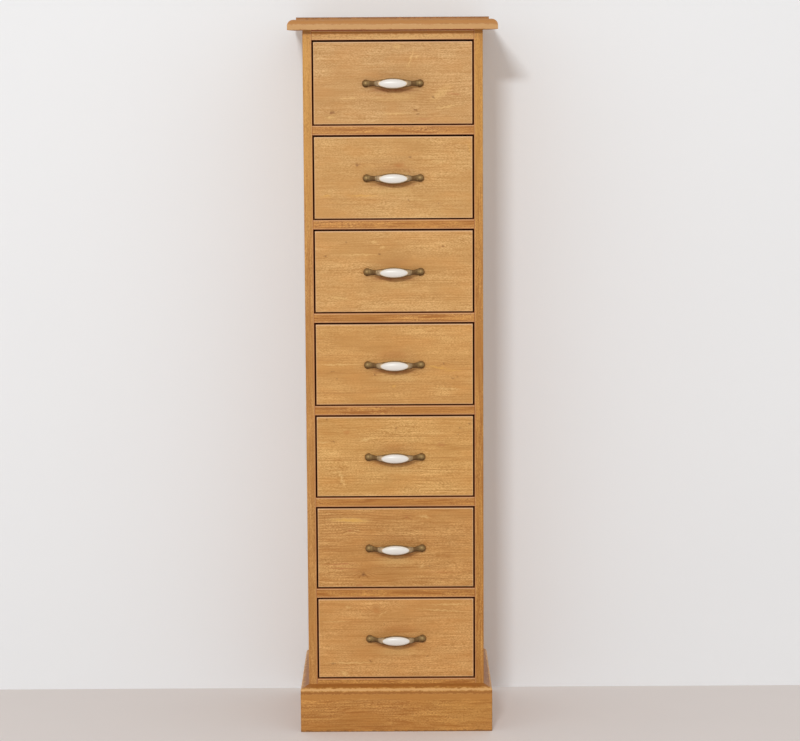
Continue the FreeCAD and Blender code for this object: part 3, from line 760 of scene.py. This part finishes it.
class Bow:
    """One brass bow, in millimetres from the middle of the drawer front's face."""

    rim_band = 3.0
    belly = 3.5
    seat = 2.5
    arm_root_standoff = 5.2
    arm_root_height = 12.6
    arm_neck = 0.38
    arm_neck_height = 9.0
    arm_crown_height = 15.8
    arm_rise = 0.8
    arm_thickness = 5.4
    arm_overlap = 12.2
    flutes = 15
    flute_depth = 0.38
    flutes_begin = (0.54, 0.04)      # share of the arm, and how soon they are full
    flutes_end = (0.68, 0.05)        # share of the arm, and how soon they are gone
    collar_share = 0.52
    collar_bead = 0.55
    rim_bead = 0.95
    rim_bead_inset = 0.75
    rim_bead_drop = 0.85
    rim_profile = ((1.0, 0.8), (0.985, 0.25), (0.955, 0.0))   # share of the oval, and drop
    foot_edge = 0.4
    foot_base = 2.6
    foot_squareness = 2.2            # 2 is a round dome, more is a fuller one
    clearance = 0.1
    screw_clearance = 0.05
    screw_hole = (-1.0, 6.5)
    grain = 0.36                     # fineness of the casting's skin

    def __init__(self, handles):
        self.foot_x = handles.centres / MM / 2
        self.foot_radius = handles.foot_diameter / MM / 2
        self.foot_height = handles.foot_height / MM
        self.rim_standoff = (handles.reach - handles.grip_crown) / MM
        self.tray_standoff = self.rim_standoff - self.rim_band
        rim = self.clearance + handles.rim_width / MM
        self.grip_half = (handles.grip_length / MM / 2, handles.grip_height / MM / 2)
        self.tray_half = tuple(half + rim for half in self.grip_half)
        self.screw_radius = handles.screw_diameter / MM / 2

    def foot(self, side):
        """A button foot with a low domed face."""
        rings = [(self.foot_radius - self.foot_edge, 0.0),
                 (self.foot_radius, self.foot_edge), (self.foot_radius, self.foot_base)]
        dome = self.foot_height - self.foot_base
        power = 2 / self.foot_squareness
        for k in range(1, 12):
            turn = math.radians(90 * k / 12)
            rings.append((self.foot_radius * math.cos(turn) ** power,
                          self.foot_base + dome * math.sin(turn) ** power))
        return shell([oval_ring(radius, radius, standoff, 40, side * self.foot_x)
                      for radius, standoff in rings])

    def arm_ring(self, side, share, flute_depth=0.0, count=60):
        """A section of an arm; share goes from 0 at the foot to 1 in the tray."""
        span = self.tray_half[0] - self.arm_overlap - self.foot_x
        rise = self.tray_standoff - self.arm_root_standoff
        out = min(1.0, share / self.arm_rise)
        standoff = self.arm_root_standoff + rise * smooth_step(out)
        climb = rise * 6 * out * (1 - out) / self.arm_rise
        along = Vector((span, -climb, 0)).normalized()
        deep = along.cross(Vector((0, 0, 1)))
        height = (self.arm_neck_height
                  + (self.arm_root_height - self.arm_neck_height)
                  * (1 - smooth_step(share / self.arm_neck))
                  + (self.arm_crown_height - self.arm_neck_height)
                  * smooth_step((share - self.arm_neck) / (1 - self.arm_neck)))
        centre = Vector((self.foot_x + span * share, -standoff, 0))
        ring = []
        for k in range(count):
            turn = 2 * math.pi * k / count
            ripple = flute_depth * math.cos(self.flutes * turn)
            point = (centre + Vector((0, 0, 1)) * math.sin(turn) * (height / 2 + ripple)
                     + deep * math.cos(turn) * (self.arm_thickness / 2 + ripple))
            ring.append(Vector((side * point.x, point.y, point.z)))
        return ring

    def arm(self, side):
        """An arm that leaves the foot broad, narrows to a neck and rises in an S to the
        tray, flaring as it goes, with short flutes where it takes hold of the porcelain."""
        (begin, full), (end, gone) = self.flutes_begin, self.flutes_end
        rings = []
        for k in range(41):
            share = k / 40
            fluted = smooth_step((share - begin) / full)
            fluted *= 1 - smooth_step((share - end) / gone)
            rings.append(self.arm_ring(side, share, self.flute_depth * fluted))
        return shell(rings)

    def tray(self):
        """The oval tray, rounded behind, before the seat is cut into it."""
        turns = [math.radians(90 * k / 9) for k in range(1, 10)]
        rings = [(math.sin(turn), self.tray_standoff - self.belly * math.cos(turn))
                 for turn in turns]
        rings += [(share, self.rim_standoff - drop) for share, drop in self.rim_profile]
        half_length, half_height = self.tray_half
        return shell([oval_ring(half_length * scale, half_height * scale, standoff, 96)
                      for scale, standoff in rings])

    def beads(self):
        """The rolled edge of the tray, and a raised bead round each arm."""
        half_length, half_height = (half - self.rim_bead_inset for half in self.tray_half)
        rim = oval_ring(half_length, half_height, self.rim_standoff - self.rim_bead_drop, 120)
        return bead(rim, self.rim_bead), *(
            bead(self.arm_ring(side, self.collar_share), self.collar_bead)
            for side in (-1, 1))

    def cutter(self):
        """What the seat for the grip and the two screw holes take out."""
        half_length, half_height = (half + self.clearance for half in self.grip_half)
        seat = (self.rim_standoff - self.seat, self.rim_standoff + 4)
        hole = self.screw_radius + self.screw_clearance
        return [shell([oval_ring(half_length, half_height, standoff, 120)
                       for standoff in seat])] + [
            shell([oval_ring(hole, hole, standoff, 24, side * self.foot_x)
                   for standoff in self.screw_hole]) for side in (-1, 1)]

    def mesh(self):
        """The cast bow: its forms run into each other with small fillets."""
        rim, *collars = self.beads()
        shells = [self.tray(), rim]
        for side, collar in zip((-1, 1), collars):
            shells += [self.foot(side), self.arm(side), collar]
        casting = place_object("casting", joined("casting", shells))
        tool = place_object("tool", joined("tool", self.cutter()))
        skin = casting.modifiers.new("skin", "REMESH")
        skin.mode = "VOXEL"
        skin.voxel_size = self.grain
        fettle = casting.modifiers.new("fettle", "SMOOTH")
        fettle.factor = 0.5
        fettle.iterations = 3
        bore = casting.modifiers.new("bore", "BOOLEAN")
        bore.operation = "DIFFERENCE"
        bore.solver = "EXACT"
        bore.object = tool
        mesh = plain_mesh(casting, "bow")
        bpy.data.objects.remove(tool)
        return mesh


def grip_mesh(handles):
    """The porcelain oval, in millimetres: a straight foot, a soft shoulder, a low dome."""
    half_length = handles.grip_length / MM / 2
    half_height = handles.grip_height / MM / 2
    rim = (handles.reach - handles.grip_crown) / MM
    crown = handles.grip_crown / MM
    rings = [(0.97, rim - 2.45), (1.0, rim - 2.1), (1.0, rim)]
    for k in range(1, 18):
        turn = math.radians(90 * k / 18)
        rings.append((math.cos(turn), rim + crown * math.sin(turn)))
    return joined("grip", [
        shell([oval_ring(half_length * scale, half_height * scale, standoff, 96)
               for scale, standoff in rings])])


def on_drawers(mesh, name, part, made, sharp_degrees):
    """Puts a copy of a handle's mesh on each drawer front, riding with its drawer."""
    for number, body in enumerate(DRAWERS, 1):
        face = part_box(f"{body}_front")[0].y
        low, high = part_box(f"{body}_handle_bow")
        copy = mesh.copy()
        copy.name = f"{name}_{number}"
        place = Matrix.Translation((0.0, face, (low.z + high.z) / 2))
        copy.transform(place @ Matrix.Scale(MM, 4))
        copy.materials.clear()
        copy.materials.append(made)
        copy.shade_smooth()
        copy.set_sharp_from_angle(angle=math.radians(sharp_degrees))
        piece = place_object(f"{name}_{number}", copy)
        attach(piece, body)
        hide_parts(f"{body}_handle_{part}")
    bpy.data.meshes.remove(mesh)


# ---- geometry nodes

def hand_out(add, label, places, instance, turned, steel):
    """Puts an instance on each place, makes them all real, and gives them their steel."""
    made = add("GeometryNodeInstanceOnPoints",
               {"Points": places, "Instance": instance, "Rotation": turned})
    made = add("GeometryNodeRealizeInstances", {"Geometry": made})
    made = add("GeometryNodeSetMaterial", {"Geometry": made, "Material": steel})
    add("NodeGroupOutput", {label: made})


def screw_tree(steel):
    """Two pan-head screws with a cross recess, each turned as the driver left it."""
    tree, add, given = group(
        "handle_screws", "GeometryNodeTree",
        {"Middle": "Vector", "Centres": "Float", "Shank radius": "Float",
         "Shank length": "Float", "Head radius": "Float", "Head height": "Float",
         "Recess": "Vector", "Seed": "Int"}, {"Screws": "Geometry"})

    # One screw stands on the origin with its head up: a shank, a collar and a crown.
    below, collar, crown, crown_radius, left = (
        add("Math MULTIPLY", given[label], share)
        for label, share in (("Shank length", -0.5), ("Head height", 0.55),
                             ("Head height", 0.45), ("Head radius", 0.74),
                             ("Centres", -0.5)))
    collar_middle = add("Math MULTIPLY", collar, 0.5)
    shank_sizes = {"Vertices": 24, "Radius": given["Shank radius"],
                   "Depth": given["Shank length"]}
    collar_sizes = {"Vertices": 40, "Radius": given["Head radius"], "Depth": collar}
    crown_sizes = {"Vertices": 40, "Radius Top": crown_radius,
                   "Radius Bottom": given["Head radius"], "Depth": crown}
    whole = add("GeometryNodeMeshBoolean UNION")
    for shape, sizes, height in (("Cylinder", shank_sizes, below),
                                 ("Cylinder", collar_sizes, collar_middle),
                                 ("Cone", crown_sizes, collar)):
        solid = add(f"GeometryNodeMesh{shape}", sizes)
        place = add("CombineXYZ", 0.0, 0.0, height)
        solid = add("GeometryNodeTransform", {"Geometry": solid, "Translation": place})
        tree.links.new(solid[0], whole[0].node.inputs["Mesh 2"])

    # Two bars cut the cross recess.
    recess = add("SeparateXYZ", given["Recess"])
    deep = add("Math MULTIPLY", recess["Z"], 2.0)
    place = add("CombineXYZ", 0.0, 0.0, given["Head height"])
    screw = add("GeometryNodeMeshBoolean DIFFERENCE", {"Mesh 1": whole})
    for width, height in (("X", "Y"), ("Y", "X")):
        block = add("CombineXYZ", recess[width], recess[height], deep)
        bar = add("GeometryNodeMeshCube", {"Size": block})
        bar = add("GeometryNodeTransform", {"Geometry": bar, "Translation": place})
        tree.links.new(bar[0], screw[0].node.inputs["Mesh 2"])

    # Two screws stand a handle's centres apart and point into the wood.
    start = add("VectorMath ADD", given["Middle"], add("CombineXYZ", left))
    places = add("GeometryNodeMeshLine",
                 {"Count": 2, "Start Location": start,
                  "Offset": add("CombineXYZ", given["Centres"])}, mode="OFFSET")
    driven = add("FunctionNodeRandomValue",
                 {2: 0.0, 3: math.pi, "Seed": given["Seed"]}, data_type="FLOAT")[1]
    spin = add("CombineXYZ", 0.0, 0.0, driven)
    turn = add("FunctionNodeEulerToRotation", add("CombineXYZ", -math.pi / 2))
    turned = add("FunctionNodeRotateRotation", {"Rotation": turn, "Rotate By": spin},
                 rotation_space="LOCAL")
    hand_out(add, "Screws", places, screw, turned, steel)
    return tree


def pin_tree(steel):
    """Pin heads in rows along the edges of a mesh. Facing picks the part of a pin's place
    that points the way its head faces."""
    tree, add, given = group(
        "panel_pins", "GeometryNodeTree",
        {"Rows": "Geometry", "Spacing": "Float", "Stray": "Vector", "Facing": "Vector",
         "Head radius": "Float", "Head height": "Float", "Seed": "Int"},
        {"Pins": "Geometry"})
    rows = add("GeometryNodeMeshToCurve", given["Rows"])
    rows = add("GeometryNodeResampleCurve", {"Curve": rows, "Length": given["Spacing"]},
               mode="LENGTH")
    back = add("VectorMath SCALE", {0: given["Stray"], "Scale": -1.0})
    stray = add("FunctionNodeRandomValue",
                {0: back, 1: given["Stray"], "Seed": given["Seed"]},
                data_type="FLOAT_VECTOR")
    rows = add("GeometryNodeSetPosition", {"Geometry": rows, "Offset": stray})
    facing = add("VectorMath MULTIPLY", add("GeometryNodeInputPosition"), given["Facing"])
    turned = add("FunctionNodeAlignRotationToVector", {"Vector": facing}, axis="Z")
    crown = add("Math MULTIPLY", given["Head radius"], 0.7)
    head = add("GeometryNodeMeshCone",
               {"Vertices": 14, "Radius Top": crown, "Radius Bottom": given["Head radius"],
                "Depth": given["Head height"]})
    hand_out(add, "Pins", rows, head, turned, steel)
    return tree


def fit_hardware(name, start, tree, values, body, replaced=None):
    """Fits what a geometry tree makes from a starting mesh and named values to a body."""
    source = place_object(name, start)
    modifier = source.modifiers.new(name, "NODES")
    modifier.node_group = tree
    for item in tree.interface.items_tree:
        if item.in_out == "INPUT" and item.name in values:
            modifier[item.identifier] = values[item.name]
    mesh = plain_mesh(source, name)
    bpy.data.meshes.remove(start)
    if not mesh.polygons:
        raise RuntimeError(f"{name}: its tree made nothing")
    piece = place_object(name, mesh)
    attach(piece, body)
    if replaced:
        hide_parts(replaced)


def rows_mesh(lines):
    """A mesh with one edge for each straight row."""
    mesh = bpy.data.meshes.new("rows")
    points = [point for line in lines for point in line]
    mesh.from_pydata(points, [(k, k + 1) for k in range(0, len(points), 2)], [])
    return mesh


# ---- operators

class SEMAINIER_OT_stain_carcass(bpy.types.Operator):
    """Stains and varnishes the sides, rails, top and plinth, and finishes the inner boards"""
    bl_idname = "semainier.stain_carcass"
    bl_label = "Stain the carcass"

    def execute(self, context):
        wood = context.scene.semainier_wood
        fir_figure()
        for order, (node, board) in enumerate(BOARDS.items()):
            name, stain, grain, *figure = board
            low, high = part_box(node)
            finish(node, material(
                f"fir_stained_{name}", fir, wood, getattr(wood, stain), grain,
                3.1 + 1.7 * order, (low + high) / 2 / MM, *figure, 0.4,
                CARCASS_MARKS.get(node, ()), PAINTED_LIGHT_AND_STAIN_BANDS.get(node, ()), OUTLINES.get(node),
                WEAR_AND_HIGHLIGHT_SIDE if node.startswith("side") else WEAR_AND_HIGHLIGHT_RAIL))
        bare = material("fir_planed_bare", fir, wood, wood.bare_fir, GRAIN_ALONG_Y, 2.2,
                        late=0.3, **PLANED)
        finish("drawer_runners", bare)
        finish("drawer_stops", bare)
        finish("back_panel", material("hardboard_pressed", hardboard, wood))
        return {"FINISHED"}


class SEMAINIER_OT_stain_fronts(bpy.types.Operator):
    """Stains the seven drawer fronts, each with its own knots and streaks"""
    bl_idname = "semainier.stain_fronts"
    bl_label = "Stain the drawer fronts"

    def execute(self, context):
        wood = context.scene.semainier_wood
        for number, body in enumerate(DRAWERS, 1):
            low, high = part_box(f"{body}_front")
            middle, half = (low + high) / 2 / MM, (high - low) / 2 / MM
            heart = (30.0 + 12.0 * (number % 3), (-1) ** number * (95.0 + 20.0 * (number % 4)))
            above = ("orange", 0, 16, 66, 18, 0, ABOVE_HANDLE[number], 0)
            finish(f"{body}_front", material(
                f"fir_stained_front_{number}", fir, wood,
                tinted(wood.front_stain, *TONES[number]), GRAIN_ALONG_X,
                21.0 + number * 1.7, middle, heart, *FIGURES[number],
                marks=MARKS[number] + [above, BELOW_HANDLE, UNDER_HANDLE],
                outline=(middle, (half.x, 1000.0, half.z), 0.0),
                worn=WEAR_AND_HIGHLIGHT_FRONT, joint_shares=JOINT_FRONT_STAIN_AND_SHADE))
        return {"FINISHED"}


class SEMAINIER_OT_finish_boxes(bpy.types.Operator):
    """Finishes the drawer boxes: planed fir sides and backs, plywood bottoms"""
    bl_idname = "semainier.finish_boxes"
    bl_label = "Finish the drawer boxes"

    def execute(self, context):
        wood = context.scene.semainier_wood
        made = {"bottom": material("birch_plywood_sanded", plywood, wood)}
        for part, name, grain, seed in (("sides", "sides", GRAIN_ALONG_Y, 4.4),
                                        ("back", "backs", GRAIN_ALONG_X, 6.6)):
            made[part] = material(f"fir_planed_box_{name}", fir, wood, wood.bare_fir, grain,
                                  seed, late=0.35, **PLANED)
        for body in DRAWERS:
            for part, board in made.items():
                finish(f"{body}_{part}", board)
        return {"FINISHED"}


class SEMAINIER_OT_cast_bows(bpy.types.Operator):
    """Casts the brass bows and fixes one to each drawer"""
    bl_idname = "semainier.cast_bows"
    bl_label = "Cast the brass bows"

    def execute(self, context):
        handles = context.scene.semainier_handles
        boxes = [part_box(f"{body}_handle_bow") for body in DRAWERS]
        lowest, second = sorted((low.z + high.z) / 2 / MM for low, high in boxes)[:2]
        brass = material("brass_cast_darkened", antique_brass, handles, lowest,
                         second - lowest)
        on_drawers(Bow(handles).mesh(), "brass_bow", "bow", brass, 38)
        return {"FINISHED"}


class SEMAINIER_OT_glaze_grips(bpy.types.Operator):
    """Makes the porcelain grips and seats one in each bow"""
    bl_idname = "semainier.glaze_grips"
    bl_label = "Glaze the porcelain grips"

    def execute(self, context):
        handles = context.scene.semainier_handles
        porcelain = material("porcelain_glazed_white", glazed_porcelain, handles)
        on_drawers(grip_mesh(handles), "porcelain_grip", "grip",
                   porcelain, 50)
        return {"FINISHED"}


class SEMAINIER_OT_drive_screws(bpy.types.Operator):
    """Drives two screws into each handle from inside its drawer"""
    bl_idname = "semainier.drive_screws"
    bl_label = "Drive the handle screws"

    def execute(self, context):
        handles = context.scene.semainier_handles
        tree = screw_tree(material("steel_zinc_plated", zinc_plated_steel))
        for number, body in enumerate(DRAWERS, 1):
            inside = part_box(f"{body}_front")[1].y
            low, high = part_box(f"{body}_handle_screws")
            values = {"Middle": (0.0, inside, (low.z + high.z) / 2),
                      "Centres": handles.centres,
                      "Shank radius": handles.screw_diameter / 2,
                      "Shank length": inside - low.y,
                      "Head radius": handles.screw_head / 2,
                      "Head height": high.y - inside,
                      "Recess": (4.6 * MM, 1.1 * MM, 1.3 * MM), "Seed": number}
            fit_hardware(f"handle_screws_{number}", bpy.data.meshes.new("start"), tree,
                         values, body, f"{body}_handle_screws")
        return {"FINISHED"}


class SEMAINIER_OT_pin_boards(bpy.types.Operator):
    """Pins the back panel to the carcass, and each box's sides to its front and back"""
    bl_idname = "semainier.pin_boards"
    bl_label = "Pin the boards"

    def execute(self, context):
        tree = pin_tree(bpy.data.materials["steel_zinc_plated"])
        head = {"Head radius": 1.3 * MM, "Head height": 0.5 * MM}

        low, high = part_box("back_panel")
        floor_low, floor_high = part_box("bottom_board")
        aside, end, inset = high.x - 4 * MM, 22 * MM, 45 * MM
        shelf = (floor_low.z + floor_high.z) / 2
        lines = [((side * aside, high.y, low.z + end), (side * aside, high.y, high.z - end))
                 for side in (-1, 1)]
        lines.append(((-aside + inset, high.y, shelf), (aside - inset, high.y, shelf)))
        fit_hardware("back_panel_pins", rows_mesh(lines), tree, {
            "Spacing": 92 * MM, "Stray": (1.2 * MM, 0.0, 1.2 * MM),
            "Facing": (0.0, 1.0, 0.0), "Seed": 5, **head}, "carcass")

        for number, body in enumerate(DRAWERS, 1):
            low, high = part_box(f"{body}_sides")
            back_low, back_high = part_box(f"{body}_back")
            lines = [((side * high.x, depth, low.z + 24 * MM),
                      (side * high.x, depth, high.z - 20 * MM))
                     for side in (-1, 1)
                     for depth in (low.y + 5 * MM, (back_low.y + back_high.y) / 2)]
            fit_hardware(f"box_pins_{number}", rows_mesh(lines), tree, {
                "Spacing": 33 * MM, "Stray": (0.0, 0.8 * MM, 1.5 * MM),
                "Facing": (1.0, 0.0, 0.0), "Seed": 20 + number, **head}, body)
        return {"FINISHED"}


# ---- stage

def matt_floor(add, coordinates, place, stage):
    """A plain pale floor, matt, with the faintest unevenness."""
    cloud = add("TexNoise", {"Vector": place, "Scale": 6.0 * MM})
    shade = layered(add, tinted(stage.floor),
                    [(tinted(stage.floor, 0.97, 0.97, 0.97), cloud)])
    return {"Base Color": shade, "Roughness": 0.8}


def painted_wall(add, coordinates, place, stage):
    """A matt painted wall that only the camera sees, and only from in front, so that it
    neither darkens the back of the chest nor hides it."""
    cloud = add("TexNoise", {"Vector": place, "Scale": 3.0 * MM})
    shade = layered(add, tinted(stage.wall),
                    [(tinted(stage.wall, 0.98, 0.98, 0.98), cloud)])
    paint = add("BsdfDiffuse", {"Color": shade})
    nothing = add("BsdfTransparent")
    before = add("Math SUBTRACT", 1.0, add("NewGeometry")["Backfacing"])
    seen = add("Math MULTIPLY", add("LightPath")["Is Camera Ray"], before)
    return add("MixShader", seen, nothing, paint)


def sheet(name, corners, made):
    """A flat sheet of the stage."""
    mesh = bpy.data.meshes.new(name)
    mesh.from_pydata(corners, [], [(0, 1, 2, 3)])
    mesh.materials.append(made)
    piece = place_object(name, mesh)


class SEMAINIER_OT_set_stage(bpy.types.Operator):
    """Sets the camera, the wall, the floor, the lamp and the daylight"""
    bl_idname = "semainier.set_stage"
    bl_label = "Set the stage"

    def execute(self, context):
        scene = context.scene
        stage = scene.semainier_stage
        scene.view_settings.view_transform = "Standard"
        reach = FLOOR_REACH
        sheet("floor", [(-reach, -reach, 0), (reach, -reach, 0), (reach, reach, 0),
                        (-reach, reach, 0)], material("floor_matt", matt_floor, stage))
        reach, depth = WALL_REACH, cad_box[1].y + stage.wall_gap
        sheet("wall", [(-reach, depth, 0), (reach, depth, 0), (reach, depth, WALL_HEIGHT),
                       (-reach, depth, WALL_HEIGHT)],
              material("wall_painted", painted_wall, stage))
        self.camera(scene)
        self.light(scene, stage)
        return {"FINISHED"}

    def camera(self, scene):
        """A long lens at chest height, looking a little down."""
        lens = bpy.data.cameras.new("camera")
        lens.sensor_width = FILM_WIDTH
        lens.lens = LENS
        camera = bpy.data.objects.new("camera", lens)
        scene.collection.objects.link(camera)
        camera.location = CAMERA_PLACE
        pitch, yaw, roll = (math.radians(angle) for angle in CAMERA_ANGLES)
        camera.rotation_euler = (Matrix.Rotation(-yaw, 3, "Z")
                                 @ Matrix.Rotation(math.pi / 2 + pitch, 3, "X")
                                 @ Matrix.Rotation(-roll, 3, "Z")).to_euler()
        scene.camera = camera

    def light(self, scene, stage):
        """One soft lamp above and left of the camera, and even daylight from all round."""
        lamp = bpy.data.lights.new("soft_lamp", "AREA")
        lamp.energy = stage.lamp_power
        lamp.shape = "RECTANGLE"
        lamp.size = stage.lamp_width
        lamp.size_y = stage.lamp_height
        lamp.color = LAMP_COLOUR
        light = bpy.data.objects.new("soft_lamp", lamp)
        scene.collection.objects.link(light)
        light.location = LAMP_PLACE
        aim = Vector(LAMP_AIM) - light.location
        light.rotation_euler = aim.to_track_quat("-Z", "Y").to_euler()
        light.visible_camera = False

        world = bpy.data.worlds.new("daylight")
        scene.world = world
        world.use_nodes = True
        world.node_tree.nodes.clear()
        add = partial(add_node, world.node_tree)
        path = add("LightPath")
        seen = add("Math MAXIMUM", path["Is Camera Ray"], path["Is Glossy Ray"])
        seen = add("Math MAXIMUM", seen, path["Is Transmission Ray"])
        sky = add("Background", {"Color": DAYLIGHT_COLOUR, "Strength": stage.daylight})
        backdrop = add("Background", {"Color": tinted(stage.wall), "Strength": 1.0})
        both = add("MixShader", seen, sky, backdrop)
        add("OutputWorld", {"Surface": both})


OPERATORS = (SEMAINIER_OT_stain_carcass, SEMAINIER_OT_stain_fronts,
             SEMAINIER_OT_finish_boxes, SEMAINIER_OT_cast_bows, SEMAINIER_OT_glaze_grips,
             SEMAINIER_OT_drive_screws, SEMAINIER_OT_pin_boards, SEMAINIER_OT_set_stage)
SETTINGS = {"semainier_wood": SemainierWood, "semainier_handles": SemainierHandles,
            "semainier_stage": SemainierStage}


class SEMAINIER_PT_workshop(bpy.types.Panel):
    """Lists the sizes, the colours and the steps of the work"""
    bl_label = "Semainier"
    bl_idname = "SEMAINIER_PT_workshop"
    bl_space_type = "VIEW_3D"
    bl_region_type = "UI"
    bl_category = "Semainier"

    def draw(self, context):
        for setting, group in SETTINGS.items():
            box = self.layout.box()
            for name in group.__annotations__:
                box.prop(getattr(context.scene, setting), name)
        for operator in OPERATORS:
            self.layout.operator(operator.bl_idname)


def register():
    for setting, group in SETTINGS.items():
        bpy.utils.register_class(group)
        setattr(bpy.types.Scene, setting, bpy.props.PointerProperty(type=group))
    for item in (*OPERATORS, SEMAINIER_PT_workshop):
        bpy.utils.register_class(item)


def unregister():
    for item in (SEMAINIER_PT_workshop, *reversed(OPERATORS)):
        bpy.utils.unregister_class(item)
    for setting, group in SETTINGS.items():
        delattr(bpy.types.Scene, setting)
        bpy.utils.unregister_class(group)


def main():
    register()
    for step in ("stain_carcass", "stain_fronts", "finish_boxes", "cast_bows",
                 "glaze_grips", "drive_screws", "pin_boards", "set_stage"):
        getattr(bpy.ops.semainier, step)()


if __name__ == "__main__":
    main()
